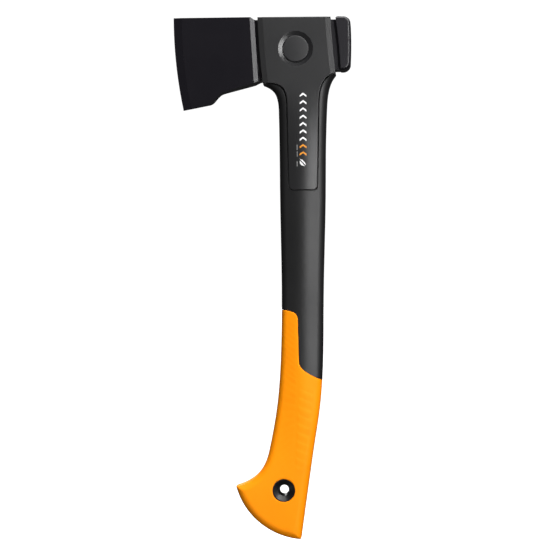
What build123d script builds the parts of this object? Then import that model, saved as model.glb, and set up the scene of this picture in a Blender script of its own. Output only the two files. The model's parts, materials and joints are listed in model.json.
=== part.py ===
"""A one-hand wood-splitting axe: forged head, hollow moulded handle and soft grip.

Frame, in millimetres: the origin is the centre of the hanging hole, +Z runs up the shaft to the
head, the blade points to -X and the poll to +X. The axe is symmetrical about the plane Y = 0, and
its left side is at -Y.
"""

import os

from build123d import *

# Overall sizes
shaft_length = 345.3       # hanging hole to the underside of the head wrap
wrap_height = 56.7         # underside to top of the wrap
half_thickness = 12.6      # shaft, grip and knob, centre plane to the crown
wrap_half_thickness = half_thickness + 1.4
shaft_width = 38.0         # shaft below the label panel
blade_reach = 95.3         # shaft datum to the toe of the cutting edge
poll_reach = 57.0          # shaft datum to the striking face

# Head
toe_rise = 1.5             # the toe stands this far above the wrap
heel_drop = 21.3           # the heel hangs this far below the wrap
heel_setback = 8.6         # the heel lies this far behind the toe
edge_sagitta = 2.1         # bow of the cutting edge
edge_land = 0.12           # half the thickness of the ground edge
bevel_width = 7.3
bevel_half_thickness = 2.3
cheek_half_thickness = 12.4
shoulder_width = 3.8       # gentle slope beyond the cheek's ridge
shoulder_half_thickness = 11.3
neck_gap = 3.1             # bare neck between the shoulder and the wrap
neck_step = 1.9            # the neck lies this far below the top of the wrap
web_half_thickness = 4.5
web_end_margin = 5.5       # wrap left above and below the web
poll_neck_gap = 4.2
poll_half_thickness = 13.0
poll_rise = 0.7
poll_height = 45.7
poll_corner = 6.5
poll_bow = 0.4             # the striking face is very slightly convex
poll_edge_round = 2.4

# Wrap and label panels
wrap_taper = 4.6           # the wrap's sides lean this far towards the poll
wrap_front = 22.4          # shaft datum to the wrap's blade side, at the top
wrap_back = 39.6           # shaft datum to the wrap's poll side, at the top
wrap_chamfer = 4.4
wrap_chamfer_drop = 0.55
wrap_top_chamfer = 0.8
panel_seat = half_thickness - 3.0   # centre plane to the flat floor under each panel
panel_gap = 0.8
neck_half_thickness = panel_seat - panel_gap
panel_tail = 89.9          # the panel's tongue runs this far below the wrap
panel_edge_round = 0.6
tongue_corner = 3.8
flank_round = 7.0

# Cross pin and its caps
pin_x = 10.0
pin_drop = 27.0            # below the top of the wrap
pin_radius = 6.0
pin_clearance = 0.15
cap_radius = 11.0
cap_height = 2.8
cap_dome = 0.5
cap_seat_depth = 2.4       # pocket that holds the cap
recess_radius = cap_radius + 3.9
recess_depth = 1.04        # shallow cone round the cap

# Grip and knob
sleeve_thickness = 2.6
sleeve_groove = 0.25
grip_front_top = 153.3     # top of the soft grip on the blade side
grip_back_top = 93.6       # top of the soft grip on the poll side
hollow_wall = 3.4
knob_joint = 40.0          # the knob core starts this far above the hole
spigot_length = 22.0
spigot_clearance = 0.2

# Hanging eyelet
hole_radius = 3.8
hole_waist = 4.0           # length of the straight waist
knee_radius = 4.9          # where the steep throat meets the open cone
knee_depth = 2.4           # below the surface
eyelet_radius = 9.5
eyelet_land = 0.5          # flat rim round the mouth
eyelet_wall = 1.8
hole_fall = 0.6            # the surface lies this far inside the crown at the hole

head_top = shaft_length + wrap_height
datum = 16.0               # middle of the shaft
wrap_low_left = wrap_taper - wrap_front - 0.1
wrap_low_right = wrap_back + wrap_taper - 0.3


def side_face(edges):
    """A closed face in the side plane, from edges given as (x, z)."""
    return make_face(Plane.XZ * (Curve() + edges))


def slab(face, reach=40.0):
    """A side face made into a prism that runs past both sides of the axe."""
    return extrude(face, reach, both=True)


def envelope(inset=0.0):
    """The crowned front and rear of the handle, as one solid wider than the handle itself."""
    stations = [
        # height, half thickness, fall of the crown
        (head_top + 40, wrap_half_thickness, 0.02),
        (head_top, wrap_half_thickness, 0.02),
        (head_top - wrap_height / 3, wrap_half_thickness, 0.02),
        (shaft_length + wrap_height / 3, wrap_half_thickness, 0.02),
        (shaft_length + 3, wrap_half_thickness, 0.1),
        (shaft_length - 10, wrap_half_thickness - 0.05, 0.8),
        (shaft_length - 25, wrap_half_thickness - 0.2, 2.2),
        (shaft_length - 50, half_thickness + 0.8, 4.4),
        (shaft_length - panel_tail, half_thickness + 0.3, 5.8),
        (shaft_length * 0.5, half_thickness, 6.4),
        (shaft_length * 0.3, half_thickness, 6.2),
        (50, half_thickness, 4.0),
        (20, half_thickness, 1.8),
        (-10, half_thickness, 1.1),
        (-50, half_thickness, 0.9),
    ]
    sections = []
    for height, half, fall in stations:
        deep = half - inset
        front = []
        for away, share in [(-70, 1), (-28, 1), (-14, 0.5), (0, 0), (14, 0.5), (28, 1), (70, 1)]:
            front.append((datum + away, -deep + fall * share))
        rear = [(x, -y) for x, y in reversed(front)]
        section = Curve() + [
            Spline(front, tangents=[(1, 0), (1, 0)]),
            Line(front[-1], rear[0]),
            Spline(rear, tangents=[(-1, 0), (-1, 0)]),
            Line(rear[-1], front[0]),
        ]
        sections.append(make_face(Pos(0, 0, height) * section))
    return loft(sections)


def handle_face(inset=0.0):
    """Side outline of the shaft and knob, its flares running on past the sides of the wrap."""
    half_width = shaft_width / 2 - inset
    base = shaft_length + inset
    top = shaft_length + 40
    flare_far_left = (-34, base + 5.8)
    flare_left = (wrap_low_left + inset, base)
    flare_end_left = (datum - half_width - 1.6, shaft_length - 23)
    hook_start = (-13.3 + inset, 31)
    tip = (-41.2 + 1.8 * inset, 3.0 - 0.8 * inset)
    butt_middle = (-22.9 + 0.7 * inset, -26.8 + 0.7 * inset)
    butt_corner = (14.6 - 0.8 * inset, -42.1 + 1.1 * inset)
    back_start = (24.4 - inset, 30)
    flare_end_right = (datum + half_width + 1.4, shaft_length - 18)
    flare_right = (wrap_low_right, base + 8.3)
    flare_far_right = (60, base + 26.5)
    front_points = [
        flare_end_left,
        (datum - half_width - 0.6, shaft_length * 0.715),
        (datum - half_width + 0.85, shaft_length * 0.477),
        (datum - half_width - 0.1, shaft_length * 0.318),
        (datum - half_width - 3.4, shaft_length * 0.2),
        hook_start,
    ]
    back_points = [
        back_start,
        (datum + half_width - 4.8, shaft_length * 0.2),
        (datum + half_width - 2.0, shaft_length * 0.318),
        (datum + half_width - 1.5, shaft_length * 0.477),
        (datum + half_width + 0.2, shaft_length * 0.715),
        flare_end_right,
    ]
    hook_bend = (-16.4 + inset, 19.3)
    hook_flat = (-22 + inset, 8.5 - inset)
    return side_face([
        Line((flare_far_left[0], top), flare_far_left),
        Line(flare_far_left, flare_left),
        Bezier(flare_left, (-9 + inset, base - 3), (-4.7 + inset, base - 9), flare_end_left),
        Spline(front_points, tangents=[(0.03, -1), (-0.22, -1)]),
        Bezier(hook_start, hook_bend, hook_flat, tip),
        ThreePointArc(tip, butt_middle, butt_corner),
        ThreePointArc(butt_corner, (19.4 - inset, -6), back_start),
        Spline(back_points, tangents=[(0.14, 1), (0.04, 1)]),
        Bezier(flare_end_right, (36.9 - inset, base - 5), (39.2 - inset, base + 3), flare_right),
        Line(flare_right, flare_far_right),
        Line(flare_far_right, (flare_far_right[0], top)),
        Line((flare_far_right[0], top), (flare_far_left[0], top)),
    ])


def handle_body(inset=0.0):
    """The rounded shaft and knob, or their core lying inset below the surface."""
    body = slab(handle_face(inset)) & envelope(inset)
    rims = []
    for edge in body.edges():
        middle = edge.center()
        across = abs(edge.tangent_at(0.5).Y) < 0.6
        if across and abs(middle.Y) > 2 and middle.Z < shaft_length + 20 and edge.length > 3:
            rims.append(edge)
    return fillet(rims, max(flank_round - inset, 1.0))


def below_wrap():
    """Everything under the slanting sides of the wrap's lower corners, as a side face."""
    left = wrap_low_left
    right = wrap_low_right
    throat = shaft_length - 45
    return Polyline(
        (left, throat), (-70, throat), (-70, -80), (80, -80), (80, throat), (right, throat),
        (right, shaft_length + 9), (30, shaft_length + 30), (0, shaft_length + 30),
        (left, shaft_length + 0.4), close=True,
    )


def plateau_face(gap=0.0):
    """Side outline of the head wrap and the panel's tongue, or of the pocket round the tongue."""
    tail = shaft_length - panel_tail - gap
    bend = shaft_length - 17
    top_left = (-wrap_front, head_top)
    low_left = (-wrap_front + wrap_taper, shaft_length + 0.7 - gap)
    top_right = (wrap_back, head_top)
    low_right = (wrap_low_right, shaft_length + 9.4 - gap)
    left_bend = (2.8 - gap, bend)
    right_bend = (29.6 + gap, bend)
    left_tail = (4.3 - gap, tail + tongue_corner)
    right_tail = (28.4 + gap, tail + tongue_corner)
    left_foot = (left_tail[0] + tongue_corner, tail)
    right_foot = (right_tail[0] - tongue_corner, tail)
    base = shaft_length - gap
    return side_face([
        Line(top_left, top_right),
        ThreePointArc(top_right, (wrap_back + 1.7, head_top - 24), low_right),
        Bezier(low_right, (33.5 + gap, base + 6.2), (29.8 + gap, base - 2), right_bend),
        Line(right_bend, right_tail),
        RadiusArc(right_tail, right_foot, tongue_corner),
        Line(right_foot, left_foot),
        RadiusArc(left_foot, left_tail, tongue_corner),
        Line(left_tail, left_bend),
        Bezier(left_bend, (2.4 - gap, base - 2.3), (-3 - gap, base + 1.2), low_left),
        ThreePointArc(low_left, (-wrap_front + 1.8, head_top - 27), top_left),
    ])


def plateau_block():
    """The head wrap and the panel's tongue at full thickness, with the wrap's sides chamfered."""
    block = slab(plateau_face()) & envelope()
    for side in (-1, 1):
        for end in (-1, 1):
            faces = block.faces().filter_by(lambda face: face.area > 2000 and abs(face.center().Y) > 5)
            broad = faces.sort_by(Axis.Y)[0 if side < 0 else -1]
            upright = broad.edges().filter_by(
                lambda edge: abs(edge.tangent_at(0.5).Z) > 0.9
                and shaft_length + 15 < edge.center().Z < head_top - 10
            )
            corner = upright.sort_by(Axis.X)[0 if end < 0 else -1]
            block = chamfer(corner, wrap_chamfer, wrap_chamfer_drop, reference=broad)
    tongue = block.edges().filter_by(
        lambda edge: abs(edge.center().Y) > panel_seat
        and abs(edge.tangent_at(0.5).Y) < 0.5
        and edge.center().Z < shaft_length + 8
    )
    block = fillet(tongue, panel_edge_round)
    top = block.edges().filter_by(
        lambda edge: abs(edge.center().Y) > panel_seat
        and abs(edge.tangent_at(0.5).X) > 0.8
        and edge.center().Z > head_top - 0.5
    )
    return chamfer(top, wrap_top_chamfer)


def turned(profile, x=0.0, z=0.0):
    """A solid of revolution about a line along Y, from (radius, y) points."""
    face = make_face(Polyline(*profile, close=True))
    return Pos(x, 0, z) * revolve(face, Axis.Y)


def grip_face(groove=0.0):
    """Side outline of the soft grip's reach, open to both sides and below."""
    front_top = grip_front_top + groove
    back_top = grip_back_top + groove
    crest = (datum - 4 + groove, front_top - 8.8)
    trough = (datum - 3 + groove, front_top - 43)
    rise_end = (datum + 7.8, back_top + 4.2)
    return side_face([
        Line((-70, front_top + 0.4), (-6, front_top + 0.4)),
        Bezier((-6, front_top + 0.4), (8, front_top), (11.7 + groove, front_top - 2), crest),
        Line(crest, trough),
        Bezier(trough, (13.2 + groove, front_top - 48.5), (15, back_top + 9.4), rise_end),
        Line(rise_end, (80, back_top - 22)),
        Line((80, back_top - 22), (80, -80)),
        Line((80, -80), (-70, -80)),
        Line((-70, -80), (-70, front_top + 0.4)),
    ])


def hollow(clearance=0.0):
    """The hollow inside the shaft, or the spigot that plugs it."""
    width = shaft_width - 2 * (sleeve_thickness + hollow_wall) - 2 * clearance
    depth = 2 * (half_thickness - sleeve_thickness - hollow_wall) - 2 * clearance
    stations = [
        # height, shift of the middle, width
        (knob_joint - 1, -8.6, width - 2),
        (knob_joint + 30, -4.2, width - 2),
        (shaft_length * 0.32, -0.9, width - 1),
        (shaft_length * 0.6, -0.4, width - 1),
        (shaft_length - 25, -0.2, width),
    ]
    sections = []
    for height, shift, wide in stations:
        sections.append(Pos(datum + shift, 0, height) * RectangleRounded(wide, depth, depth / 2.4))
    return loft(sections)


def below(height):
    """Everything under a height."""
    return Pos(0, 0, height - 300) * Box(400, 400, 600)


def ridge_x(height):
    """Where the blade's cheek meets the shoulder."""
    return -29.1 + 3.8 * (head_top - height) / 58


def edge_x(height):
    """Where the cutting edge lies: a shallow arc from toe to heel."""
    toe = head_top + toe_rise
    share = (toe - height) / (toe - shaft_length + heel_drop)
    return -blade_reach + heel_setback * share - 4 * edge_sagitta * share * (1 - share)


def axe_head():
    """The forging: blade, neck, web inside the wrap and poll."""
    toe = head_top + toe_rise
    sections = []
    for height in (toe + 3, toe - 20, toe - 40, toe - 60, shaft_length - heel_drop - 3):
        ground = edge_x(height)
        ridge = ridge_x(height)
        neck = ridge + shoulder_width
        half_plan = [
            (ground, edge_land),
            (ground + bevel_width, bevel_half_thickness),
            (ridge, cheek_half_thickness),
            (neck, shoulder_half_thickness),
            (neck + 0.6, neck_half_thickness),
            (neck + neck_gap + 6, neck_half_thickness),
        ]
        mirrored = [(x, -y) for x, y in reversed(half_plan)]
        plan = Polyline(*half_plan, *mirrored, close=True)
        sections.append(make_face(Pos(0, 0, height) * plan))
    blade = loft(sections)

    heel = shaft_length - heel_drop
    neck_top = head_top - neck_step
    inside = ridge_x(head_top) + shoulder_width + neck_gap + 3
    ridge_top = (ridge_x(toe) + 0.8, head_top + 0.1)
    shoulder_top = (ridge_x(toe) + shoulder_width, neck_top)
    neck_foot = (-wrap_front - 0.2, shaft_length + 2.4)
    beard_start = (-wrap_front - 3, shaft_length + 1)
    beyond = -blade_reach - 25
    blade_side = side_face([
        Line((beyond, toe + 0.4), ridge_top),
        Line(ridge_top, shoulder_top),
        Line(shoulder_top, (inside, neck_top)),
        Line((inside, neck_top), (inside, shaft_length + 3.2)),
        Line((inside, shaft_length + 3.2), neck_foot),
        Line(neck_foot, beard_start),
        Line(beard_start, (-51.3, shaft_length - 6.4)),
        Bezier(
            (-51.3, shaft_length - 6.4), (-58.5, shaft_length - 8.5),
            (-58.6, shaft_length - 15.2), (-64.2, heel + 4.8),
        ),
        Line((-64.2, heel + 4.8), (-86, heel)),
        Line((-86, heel), (beyond, heel - 7.5)),
        Line((beyond, heel - 7.5), (beyond, toe + 0.4)),
    ])
    blade = blade & slab(blade_side)

    web_low = shaft_length + web_end_margin + 2
    web_high = head_top - web_end_margin
    web_left = inside - 1
    web_right = wrap_back - 3
    web = Pos((web_left + web_right) / 2, 0, (web_low + web_high) / 2) * Box(
        web_right - web_left, 2 * web_half_thickness, web_high - web_low
    )

    poll_top = head_top + poll_rise
    poll_foot = poll_top - poll_height
    face_x = poll_reach - poll_bow
    inner_x = wrap_back + poll_neck_gap
    poll_side = side_face([
        Line((inner_x + 2, poll_top), (face_x - poll_corner, poll_top)),
        RadiusArc((face_x - poll_corner, poll_top), (face_x, poll_top - poll_corner), poll_corner),
        ThreePointArc(
            (face_x, poll_top - poll_corner), (poll_reach, poll_top - poll_height / 2),
            (face_x, poll_foot + poll_corner),
        ),
        RadiusArc((face_x, poll_foot + poll_corner), (face_x - poll_corner, poll_foot), poll_corner),
        Line((face_x - poll_corner, poll_foot), (inner_x + 4.5, poll_foot)),
        ThreePointArc(
            (inner_x + 4.5, poll_foot), (inner_x + 2.8, poll_top - 22), (inner_x, head_top - 0.6)
        ),
        Line((inner_x, head_top - 0.6), (inner_x + 2, poll_top)),
    ])
    poll = extrude(poll_side, poll_half_thickness, both=True)
    rims = poll.edges().filter_by(
        lambda edge: abs(edge.center().Y) > 5 and edge.center().X > inner_x + 3.2
    )
    poll = fillet(rims, poll_edge_round)

    poll_neck_low = poll_foot + 0.3
    poll_neck_left = wrap_back - 5
    poll_neck_right = wrap_back + poll_neck_gap + 7
    poll_neck = Pos(
        (poll_neck_left + poll_neck_right) / 2, 0, (poll_neck_low + neck_top) / 2
    ) * Box(poll_neck_right - poll_neck_left, 2 * neck_half_thickness, neck_top - poll_neck_low)

    head = blade + web + poll_neck + poll
    return head - pin_hole(pin_radius + pin_clearance)


def pin_hole(radius, half_length=40.0):
    """A cylinder on the cross pin's line."""
    return turned(
        [(0, -half_length), (radius, -half_length), (radius, half_length), (0, half_length)],
        pin_x, head_top - pin_drop,
    )


def recess():
    """The shallow cones round the caps, and the pockets that the caps sit in."""
    plateau_y = wrap_half_thickness
    foot = cap_radius + 0.15
    rise = 1.0
    flare = recess_radius + (recess_radius - foot) * rise / recess_depth
    cone = turned(
        [
            (0, plateau_y - recess_depth), (foot, plateau_y - recess_depth),
            (flare, plateau_y + rise), (0, plateau_y + rise),
        ],
        pin_x, head_top - pin_drop,
    )
    pocket = turned(
        [
            (0, plateau_y - cap_seat_depth), (cap_radius, plateau_y - cap_seat_depth),
            (cap_radius, plateau_y), (0, plateau_y),
        ],
        pin_x, head_top - pin_drop,
    )
    rear = cone + pocket
    return rear + mirror(rear, Plane.XZ)


def pin_cap(side):
    """A shallow domed disc that covers one end of the cross pin."""
    seat = wrap_half_thickness - cap_seat_depth
    rim = seat + cap_height - cap_dome
    ball_radius = (cap_radius**2 + cap_dome**2) / (2 * cap_dome)
    ball = Pos(0, rim + cap_dome - ball_radius, 0) * Sphere(ball_radius)
    column = turned([(0, seat), (cap_radius, seat), (cap_radius, rim + 5), (0, rim + 5)])
    disc = fillet((column & ball).edges().group_by(Axis.Y)[-1], 0.5)
    disc = Pos(pin_x, 0, head_top - pin_drop) * disc
    return disc if side > 0 else mirror(disc, Plane.XZ)


def eyelet_outside(clearance=0.0):
    """The space that the eyelet fills, without its hole."""
    waist = hole_waist / 2
    top = half_thickness + 1
    surface = half_thickness - hole_fall
    half = [
        (hole_radius + eyelet_wall + clearance, waist),
        (knee_radius + eyelet_wall + clearance, surface - knee_depth - 0.6),
        (eyelet_radius + clearance, surface - 1.4),
        (eyelet_radius + clearance, top),
    ]
    lower = [(r, -y) for r, y in reversed(half)]
    return turned([(0, -top), *lower, *half, (0, top)])


def eyelet_funnel():
    """The hole through the eyelet: a straight waist, a steep throat and an open cone each side."""
    waist = hole_waist / 2
    surface = half_thickness - hole_fall
    rise = 1.6
    mouth = eyelet_radius - eyelet_land
    flare = mouth + (mouth - knee_radius) * rise / knee_depth
    half = [(hole_radius, waist), (knee_radius, surface - knee_depth), (flare, surface + rise)]
    lower = [(r, -y) for r, y in reversed(half)]
    return turned([(0, -surface - rise), *lower, *half, (0, surface + rise)])


outer = handle_body()
core = handle_body(sleeve_thickness)
head = axe_head()
plateau = plateau_block()
grip_reach = grip_face()

# Handle shaft with the wrap moulded round the head's web
shaft = outer & slab(make_face(Plane.XZ * below_wrap()))
shaft -= slab(plateau_face(panel_gap)) - Box(400, 2 * panel_seat, 1200)
shaft += extrude(plateau_face(), panel_seat, both=True)
shaft -= slab(grip_face(sleeve_groove))
shaft += core & below(shaft_length - panel_tail) - below(knob_joint)
shaft -= hollow()
shaft -= head
shaft -= pin_hole(pin_radius)
shaft -= recess()

# Label panels
panels = plateau - Box(400, 2 * panel_seat, 1200)
panels -= head
panels -= recess()
panels -= pin_hole(pin_radius)

# Soft grip, knob core and eyelet
sleeve = (outer & slab(grip_reach)) - core - eyelet_outside()
knob = (core & below(knob_joint)) + (hollow(spigot_clearance) & below(knob_joint + spigot_length))
knob -= eyelet_outside()
eyelet = (eyelet_outside() & outer) - eyelet_funnel()

pin = pin_hole(pin_radius, wrap_half_thickness - cap_seat_depth)

nodes = {
    "axe_head": head,
    "handle_shaft": shaft,
    "side_panel_left": panels & Pos(0, -50, 0) * Box(400, 100, 1200),
    "side_panel_right": panels & Pos(0, 50, 0) * Box(400, 100, 1200),
    "lock_pin": pin,
    "pin_cap_left": pin_cap(-1),
    "pin_cap_right": pin_cap(1),
    "knob_core": knob,
    "grip_sleeve": sleeve,
    "hang_eyelet": eyelet,
}

os.makedirs("parts", exist_ok=True)
for name, solid in nodes.items():
    export_step(solid, f"parts/{name}.step")
    print(name, len(solid.solids()), "solid,", round(solid.volume / 1000, 1), "cm3")
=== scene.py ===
import json
import math

import bmesh
import bpy
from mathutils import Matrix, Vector
from mathutils.bvhtree import BVHTree

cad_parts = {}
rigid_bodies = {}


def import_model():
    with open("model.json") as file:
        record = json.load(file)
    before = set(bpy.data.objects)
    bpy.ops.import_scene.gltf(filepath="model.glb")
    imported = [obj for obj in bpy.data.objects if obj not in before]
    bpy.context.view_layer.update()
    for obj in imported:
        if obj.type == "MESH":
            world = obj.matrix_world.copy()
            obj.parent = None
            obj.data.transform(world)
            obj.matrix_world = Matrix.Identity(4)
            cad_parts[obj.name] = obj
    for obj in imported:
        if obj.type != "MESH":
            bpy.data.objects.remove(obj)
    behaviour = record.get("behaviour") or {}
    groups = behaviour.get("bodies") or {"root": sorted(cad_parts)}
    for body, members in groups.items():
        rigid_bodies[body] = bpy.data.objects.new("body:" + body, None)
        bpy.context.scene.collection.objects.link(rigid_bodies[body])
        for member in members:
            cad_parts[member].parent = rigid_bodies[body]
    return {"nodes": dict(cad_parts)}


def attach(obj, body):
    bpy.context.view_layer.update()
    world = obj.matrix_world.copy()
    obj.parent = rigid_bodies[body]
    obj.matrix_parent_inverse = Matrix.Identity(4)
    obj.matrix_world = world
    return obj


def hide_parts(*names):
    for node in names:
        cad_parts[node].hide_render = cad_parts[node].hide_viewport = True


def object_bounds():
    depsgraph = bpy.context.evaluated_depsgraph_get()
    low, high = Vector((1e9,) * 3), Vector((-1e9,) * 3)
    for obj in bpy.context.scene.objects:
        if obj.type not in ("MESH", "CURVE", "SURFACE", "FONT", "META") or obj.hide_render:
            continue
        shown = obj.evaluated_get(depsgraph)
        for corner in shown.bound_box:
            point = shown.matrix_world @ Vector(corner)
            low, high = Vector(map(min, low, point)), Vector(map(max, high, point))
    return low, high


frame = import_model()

cadLow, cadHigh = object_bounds()
print("frame loaded", len(frame["nodes"]), "CAD nodes")


def toLinear(hexColour):
    channels = [int(hexColour[i:i + 2], 16) / 255 for i in (1, 3, 5)]
    linear = [c / 12.92 if c <= 0.04045 else ((c + 0.055) / 1.055) ** 2.4 for c in channels]
    return (*linear, 1.0)


def newMaterial(name):
    material = bpy.data.materials.new(name)
    material.use_nodes = True
    material.node_tree.nodes.clear()
    return material, material.node_tree


def addNode(tree, kind, settings=None, links=None):
    # settings go to the node's own properties or, by name or number, to its sockets
    node = tree.nodes.new(kind)
    for key, value in (settings or {}).items():
        if isinstance(key, int) or key in node.inputs:
            node.inputs[key].default_value = value
        else:
            setattr(node, key, value)
    for key, source in (links or {}).items():
        tree.links.new(source, node.inputs[key])
    return node


def scaleFor(millimetres):
    # noise scale that gives features about this big
    return 1000 / millimetres


def finishMaterial(tree, shader):
    addNode(tree, "ShaderNodeOutputMaterial", links={"Surface": shader.outputs["BSDF"]})


grainDepth = 0.00002      # 0.02 mm, the depth of every moulded or coated grain

# the polished dish round the pin cap, where the panel's spark-eroded grain stops
dish = {
    "x": 0.010,
    "z": 0.375,
    "radius": 0.0150,
    "roughness": 0.27,
}


def dishShare(tree, place):
    # 1 inside the dish, 0 outside it, whatever the depth along Y
    flat = addNode(tree, "ShaderNodeVectorMath", {"operation": "MULTIPLY", 1: (1, 0, 1)}, {0: place})
    away = addNode(
        tree, "ShaderNodeVectorMath", {"operation": "DISTANCE", 1: (dish["x"], 0, dish["z"])},
        {0: flat.outputs["Vector"]},
    )
    share = addNode(
        tree, "ShaderNodeMapRange",
        {"From Min": dish["radius"], "From Max": dish["radius"] - 0.0003},
        {"Value": away.outputs["Value"]},
    )
    return share.outputs["Result"]


def mouldedNylon(name, colour, roughness, dished=False):
    # glass-filled nylon from a spark-eroded mould: even satin black with a very fine grain
    material, tree = newMaterial(name)
    place = addNode(tree, "ShaderNodeTexCoord").outputs["Object"]
    grain = addNode(tree, "ShaderNodeTexNoise", {"Scale": scaleFor(0.55), "Detail": 2.0}, {"Vector": place})
    cloud = addNode(tree, "ShaderNodeTexNoise", {"Scale": scaleFor(28.6), "Detail": 3.0}, {"Vector": place})
    rough = addNode(
        tree, "ShaderNodeMapRange", {"To Min": roughness - 0.04, "To Max": roughness + 0.04},
        {"Value": cloud.outputs["Fac"]},
    ).outputs["Result"]
    if dished:
        rough = addNode(
            tree, "ShaderNodeMix", {3: dish["roughness"]}, {0: dishShare(tree, place), 2: rough},
        ).outputs[0]
    bump = addNode(
        tree, "ShaderNodeBump", {"Strength": 0.35, "Distance": grainDepth},
        {"Height": grain.outputs["Fac"]},
    )
    shader = addNode(
        tree, "ShaderNodeBsdfPrincipled",
        {"Base Color": toLinear(colour), "IOR": 1.53},
        {"Roughness": rough, "Normal": bump.outputs["Normal"]},
    )
    finishMaterial(tree, shader)
    return material


def coatedSteel(name, colour, roughness):
    # steel under a smooth satin coat or a fine grind, cooler than the nylon
    material, tree = newMaterial(name)
    place = addNode(tree, "ShaderNodeTexCoord").outputs["Object"]
    peel = addNode(tree, "ShaderNodeTexNoise", {"Scale": scaleFor(1.11), "Detail": 2.0}, {"Vector": place})
    cloud = addNode(tree, "ShaderNodeTexNoise", {"Scale": scaleFor(35.7), "Detail": 4.0}, {"Vector": place})
    rough = addNode(
        tree, "ShaderNodeMapRange", {"To Min": roughness - 0.05, "To Max": roughness + 0.05},
        {"Value": cloud.outputs["Fac"]},
    )
    bump = addNode(
        tree, "ShaderNodeBump", {"Strength": 0.2, "Distance": grainDepth}, {"Height": peel.outputs["Fac"]},
    )
    shader = addNode(
        tree, "ShaderNodeBsdfPrincipled",
        {"Base Color": toLinear(colour), "IOR": 1.5},
        {"Roughness": rough.outputs["Result"], "Normal": bump.outputs["Normal"]},
    )
    finishMaterial(tree, shader)
    return material


def softRubber(name, colour, deepColour, roughness):
    # thermoplastic elastomer: saturated, slightly deeper in cloudy patches, dry and nearly matt
    material, tree = newMaterial(name)
    place = addNode(tree, "ShaderNodeTexCoord").outputs["Object"]
    cloud = addNode(tree, "ShaderNodeTexNoise", {"Scale": scaleFor(22.2), "Detail": 4.0}, {"Vector": place})
    tint = addNode(
        tree, "ShaderNodeMix", {"data_type": "RGBA", 6: toLinear(colour), 7: toLinear(deepColour)},
        {0: cloud.outputs["Fac"]},
    )
    grain = addNode(tree, "ShaderNodeTexNoise", {"Scale": scaleFor(0.556), "Detail": 2.0}, {"Vector": place})
    bump = addNode(
        tree, "ShaderNodeBump", {"Strength": 0.3, "Distance": grainDepth}, {"Height": grain.outputs["Fac"]},
    )
    shader = addNode(
        tree, "ShaderNodeBsdfPrincipled",
        {"Roughness": roughness, "IOR": 1.42, "Specular IOR Level": 0.2},
        {"Base Color": tint.outputs[2], "Normal": bump.outputs["Normal"]},
    )
    finishMaterial(tree, shader)
    return material


shaftNylon = mouldedNylon("mouldedNylonShaft", "#0e0e0f", 0.5)
panelNylon = mouldedNylon("mouldedNylonPanel", "#1b1b1c", 0.43, dished=True)
capNylon = mouldedNylon("mouldedNylonCap", "#262627", 0.4)
headCoat = coatedSteel("coatedSteel", "#0f0d13", 0.38)
pinSteel = coatedSteel("groundPinSteel", "#8d8f92", 0.3)
gripRubber = softRubber("softGripRubber", "#fc9300", "#fa8d00", 0.62)
eyeletNylon = mouldedNylon("polishedNylonEyelet", "#0b0b0d", 0.32)
print("materials made")

# the CAD bodies that are shown as they are, and the sleeve that the sculpted grip replaces
cadLooks = {
    "axe_head": headCoat,
    "handle_shaft": shaftNylon,
    "side_panel_left": panelNylon,
    "side_panel_right": panelNylon,
    "lock_pin": pinSteel,
    "pin_cap_left": capNylon,
    "pin_cap_right": capNylon,
    "knob_core": shaftNylon,
    "grip_sleeve": gripRubber,
    "hang_eyelet": eyeletNylon,
}
for nodeName, look in cadLooks.items():
    node = bpy.data.objects[nodeName]
    for slotIndex in range(len(node.material_slots)):
        node.material_slots[slotIndex].material = look


def smoothStep(low, high, value):
    share = min(max((value - low) / (high - low), 0.0), 1.0)
    return share * share * (3 - 2 * share)


# the soft grip: the moulded sleeve with its feather of low ridges either side of a spine
grip = {
    "voxel": 0.00062,
    "smoothing": 5,
    "spineX": 0.0119,          # spine at spineZ
    "spineZ": 0.090,
    "spineLean": 0.045,
    "backPitch": 0.0073,       # ridges on the poll side
    "backSlope": 0.42,
    "backHeight": 0.00013,
    "frontPitch": 0.0052,      # finer ridges on the blade side
    "frontHeight": 0.00006,
    "featherLow": 0.014,       # the feather's lower and upper ends
    "featherHigh": 0.098,
    "tongueHigh": 0.146,       # the fine ridges run on up the tongue to here
    "tongueSpineX": 0.030,     # beyond the tongue, so that it has only the blade side's ridges
    "tongueMiddleX": 0.012,
    "backWidth": 0.0115,
    "backFade": 0.0035,
    "frontEdgeX": -0.0035,     # blade-side limit, which swings out towards the knob
    "frontEdgeSwing": 0.010,
    "slant": 0.75,             # the blade side's ridges turn from rising to falling up the grip
}


def ridgeProfile(phase):
    # a slow rise and a quicker fall, like overlapping scales
    turn = phase % 1.0
    return smoothStep(0.0, 0.65, turn) * (1 - smoothStep(0.72, 1.0, turn))


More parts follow.
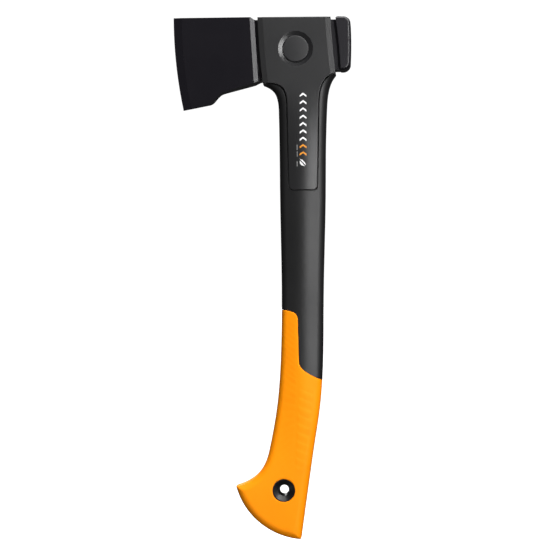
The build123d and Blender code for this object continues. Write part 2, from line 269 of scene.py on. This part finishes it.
def gripRelief(x, z):
    # height of the relief at a place on either side face
    spine = grip["spineX"] - grip["spineLean"] * (grip["spineZ"] - z)
    onTongue = z > grip["featherHigh"]
    if onTongue:
        spine = grip["tongueSpineX"]
    across = x - spine
    ends = smoothStep(grip["featherLow"], grip["featherLow"] + 0.008, z)
    ends *= 1 - smoothStep(grip["tongueHigh"] - 0.006, grip["tongueHigh"], z)
    if across > 0:
        outer = grip["backWidth"]
        side = smoothStep(0.0006, 0.0022, across) * (1 - smoothStep(outer, outer + grip["backFade"], across))
        ends *= 1 - smoothStep(grip["featherHigh"] - 0.012, grip["featherHigh"] - 0.004, z + 0.4 * across)
        phase = (z + grip["backSlope"] * across) / grip["backPitch"]
        return grip["backHeight"] * side * ends * ridgeProfile(phase)
    slant = grip["slant"] * (2 * smoothStep(0.030, 0.105, z) - 1)
    edge = grip["frontEdgeX"] - grip["frontEdgeSwing"] * (1 - smoothStep(0.02, 0.09, z))
    side = smoothStep(edge, edge + 0.0045, x) * smoothStep(0.0006, 0.0022, -across)
    if onTongue:
        side = smoothStep(edge, edge + 0.004, x) * (1 - smoothStep(0.0085, 0.0105, x))
        across = x - grip["tongueMiddleX"]
    phase = (z + slant * across) / grip["frontPitch"]
    return grip["frontHeight"] * side * ends * ridgeProfile(phase)


def sculptGrip():
    # an even voxel skin over the moulded sleeve, smoothed and then pushed out along its normals
    mesh = bpy.data.objects["grip_sleeve"].data.copy()
    form = bmesh.new()
    form.from_mesh(mesh)
    bmesh.ops.remove_doubles(form, verts=form.verts, dist=0.000002)
    form.to_mesh(mesh)
    form.free()
    sleeve = bpy.data.objects.new("gripSleeve", mesh)
    bpy.context.scene.collection.objects.link(sleeve)
    remesh = sleeve.modifiers.new("remesh", "REMESH")
    remesh.mode = "VOXEL"
    remesh.voxel_size = grip["voxel"]
    relax = sleeve.modifiers.new("relax", "SMOOTH")
    relax.factor = 0.5
    relax.iterations = grip["smoothing"]
    dense = bpy.data.meshes.new_from_object(sleeve.evaluated_get(bpy.context.evaluated_depsgraph_get()))
    sleeve.modifiers.clear()
    sleeve.data = dense
    dense.name = "gripSleeve"
    normals = [vertex.normal.copy() for vertex in dense.vertices]
    for vertex, normal in zip(dense.vertices, normals):
        facing = smoothStep(0.35, 0.8, abs(normal.y))
        outside = normal.y * vertex.co.y > 0 and abs(vertex.co.y) > 0.004
        if facing > 0 and outside:
            vertex.co += normal * facing * gripRelief(vertex.co.x, vertex.co.z)
    dense.polygons.foreach_set("use_smooth", [True] * len(dense.polygons))
    dense.materials.clear()
    dense.materials.append(gripRubber)
    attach(sleeve, "root")
    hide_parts("grip_sleeve")
    print("grip sculpted", len(dense.vertices), "points")


sculptGrip()


# printed marks on the panel's tongue: a plain strip of arrowheads, dashes and a leaf, not lettering
marks = {
    "topZ": 0.3375,
    "pitch": 0.0062,
    "leftX": 0.0136,
    "rightX": 0.0193,
    "middleX": 0.01645,
    "stroke": 0.0015625,       # upright thickness of an arrowhead's stroke
    "rise": 0.0021,
    "lift": 0.00004,
    "whiteCount": 7,
    "orangeCount": 2,
    "dashX": 0.0114,           # thin grey dashes beside the orange arrowheads
    "dashWidth": 0.0006,
    "dashTops": (0.2935, 0.2878, 0.2795),
    "dashLength": 0.0044,
    "leafTop": 0.2812,         # a small plain leaf under the arrowheads
}


def ink(name, colour, roughness):
    # pad-printed ink: a thin matt film
    material, tree = newMaterial(name)
    place = addNode(tree, "ShaderNodeTexCoord").outputs["Object"]
    speck = addNode(tree, "ShaderNodeTexNoise", {"Scale": scaleFor(0.4), "Detail": 2.0}, {"Vector": place})
    rough = addNode(
        tree, "ShaderNodeMapRange", {"To Min": roughness - 0.08, "To Max": roughness + 0.08},
        {"Value": speck.outputs["Fac"]},
    )
    shader = addNode(
        tree, "ShaderNodeBsdfPrincipled",
        {"Base Color": toLinear(colour), "IOR": 1.48}, {"Roughness": rough.outputs["Result"]},
    )
    finishMaterial(tree, shader)
    return material


whiteInk = ink("whitePadInk", "#e9e9e9", 0.5)
orangeInk = ink("orangePadInk", "#d98a1e", 0.5)
greyInk = ink("greyPadInk", "#8b8b8b", 0.5)


def printShapes(name, shapes, side, look):
    # each shape is a flat outline of (x, z) points, split finely and dropped on the panel's face
    panel = bpy.data.objects["side_panel_left" if side < 0 else "side_panel_right"]
    tree = BVHTree.FromObject(panel, bpy.context.evaluated_depsgraph_get())
    form = bmesh.new()
    for outline in shapes:
        points = [(x, z) if side < 0 else (2 * marks["middleX"] - x, z) for x, z in outline]
        corners = [form.verts.new((x, 0, z)) for x, z in points]
        form.faces.new(corners if side < 0 else corners[::-1])
    bmesh.ops.triangulate(form, faces=form.faces)
    bmesh.ops.subdivide_edges(form, edges=form.edges, cuts=2, use_grid_fill=True)
    for vertex in form.verts:
        start = Vector((vertex.co.x, side * 0.05, vertex.co.z))
        hit = tree.ray_cast(start, Vector((0, -side, 0)))[0]
        vertex.co.y = hit.y + side * marks["lift"]
    mesh = bpy.data.meshes.new(name)
    form.to_mesh(mesh)
    form.free()
    mesh.materials.append(look)
    piece = bpy.data.objects.new(name, mesh)
    bpy.context.scene.collection.objects.link(piece)
    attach(piece, "root")


def chevron(topZ):
    # two slanting strokes that meet in the middle
    left, right, middle = marks["leftX"], marks["rightX"], marks["middleX"]
    tip = (middle, topZ)
    notch = (middle, topZ - marks["stroke"])
    shoulderZ = topZ - marks["rise"]
    footZ = shoulderZ - marks["stroke"]
    return [[(left, shoulderZ), tip, notch, (left, footZ)], [tip, (right, shoulderZ), (right, footZ), notch]]


def leaf(topZ):
    # two halves either side of a fine slanting vein
    left, right = marks["leftX"], marks["rightX"]
    upper = [
        (left, topZ), (left + 0.0022, topZ - 0.0004),
        (right - 0.0012, topZ - 0.0028), (right - 0.0004, topZ - 0.0052),
    ]
    lower = [
        (left, topZ - 0.0009), (right - 0.0014, topZ - 0.0058),
        (left + 0.0014, topZ - 0.0052), (left + 0.0002, topZ - 0.0034),
    ]
    return [upper, lower]


def dash(topZ):
    left = marks["dashX"] - marks["dashWidth"] / 2
    right = left + marks["dashWidth"]
    bottomZ = topZ - marks["dashLength"]
    return [[(left, topZ), (right, topZ), (right, bottomZ), (left, bottomZ)]]


whiteShapes, orangeShapes, greyShapes = [], [], []
for number in range(marks["whiteCount"]):
    whiteShapes += chevron(marks["topZ"] - number * marks["pitch"])
orangeTop = marks["topZ"] - marks["whiteCount"] * marks["pitch"]
for number in range(marks["orangeCount"]):
    orangeShapes += chevron(orangeTop - number * marks["pitch"])
whiteShapes += leaf(marks["leafTop"])
for dashTop in marks["dashTops"]:
    greyShapes += dash(dashTop)
for side in (-1, 1):
    tag = "Left" if side < 0 else "Right"
    printShapes("greyMarks" + tag, greyShapes, side, greyInk)
    printShapes("whiteMarks" + tag, whiteShapes, side, whiteInk)
    printShapes("orangeMarks" + tag, orangeShapes, side, orangeInk)
print("marks printed")

# the floor, the camera and the lights
studio = {
    "floorDrop": 0.3,          # the floor lies this far under the knob
    "floorSize": 60.0,
    "cameraDistance": 1.535,
    "cameraYaw": 3.2,
    "lens": 116.35,
    "aimX": -0.006,
    "aimZ": 0.1809,
}
floorZ = cadLow[2] - studio["floorDrop"]
bpy.ops.mesh.primitive_plane_add(size=studio["floorSize"], location=(0, 0, floorZ))
floor = bpy.context.object
floor.name = "studioFloor"
paper, tree = newMaterial("whitePaper")
shader = addNode(
    tree, "ShaderNodeBsdfPrincipled",
    {
        "Base Color": toLinear("#f4f4f4"), "Roughness": 0.9,
        "Emission Color": (1, 1, 1, 1), "Emission Strength": 1.3,
    },
)
finishMaterial(tree, shader)
floor.data.materials.append(paper)
floor.visible_glossy = False
floor.visible_diffuse = False

world = bpy.data.worlds.new("studioWorld")
bpy.context.scene.world = world
world.use_nodes = True
tree = world.node_tree
tree.nodes.clear()
seen = addNode(tree, "ShaderNodeLightPath").outputs["Is Camera Ray"]
room = addNode(tree, "ShaderNodeBackground", {"Color": (1, 1, 1, 1), "Strength": 0.04})
backdrop = addNode(tree, "ShaderNodeBackground", {"Color": (1, 1, 1, 1), "Strength": 1.05})
mixed = addNode(tree, "ShaderNodeMixShader", {}, {0: seen, 1: room.outputs[0], 2: backdrop.outputs[0]})
addNode(tree, "ShaderNodeOutputWorld", links={"Surface": mixed.outputs[0]})


def addSoftbox(name, azimuth, height, distance, width, tall, power, aimZ=0.2):
    # azimuth turns from the front, which is -Y, towards +X
    turn = math.radians(azimuth)
    light = bpy.data.lights.new(name, "AREA")
    light.shape = "RECTANGLE"
    light.size = width
    light.size_y = tall
    light.energy = power
    lamp = bpy.data.objects.new(name, light)
    bpy.context.scene.collection.objects.link(lamp)
    lamp.location = (distance * math.sin(turn), -distance * math.cos(turn), height)
    aim = Vector((0.01, 0, aimZ)) - lamp.location
    lamp.rotation_mode = "QUATERNION"
    lamp.rotation_quaternion = aim.to_track_quat("-Z", "Y")
    return lamp


# narrow and tall, for the bright line on the shoulder, the dish and the shaft's right half
addSoftbox("keyBox", 29.5, 0.28, 1.5, 0.2, 1.3, 18)
# high enough that the upright black faces don't mirror it, for the grip's even colour
addSoftbox("topFill", 2, 2.3, 0.85, 1.5, 0.7, 53)
# lifts the grip's poll side and the lower left of the eyelet's cone
addSoftbox("sideFill", 48, 1.25, 1.1, 0.45, 0.45, 13)
# opens the shade along the knob's lower edge
addSoftbox("lowFill", -30, -0.24, 0.6, 0.5, 0.12, 0.6, -0.02)
# the far side
addSoftbox("backRight", 172, 1.6, 1.3, 0.9, 0.8, 24)
addSoftbox("backLeft", 200, 1.1, 1.8, 0.7, 0.9, 14)

print("lights placed")

cameraData = bpy.data.cameras.new("productCamera")
camera = bpy.data.objects.new("productCamera", cameraData)
bpy.context.scene.collection.objects.link(camera)
yaw = math.radians(studio["cameraYaw"])
camera.location = (
    studio["aimX"] + studio["cameraDistance"] * math.sin(yaw),
    -studio["cameraDistance"] * math.cos(yaw),
    studio["aimZ"],
)
camera.rotation_euler = (math.pi / 2, 0, yaw)
cameraData.lens = studio["lens"]
cameraData.sensor_width = 36
cameraData.clip_end = 100
bpy.context.scene.camera = camera
bpy.context.scene.view_settings.view_transform = "Standard"
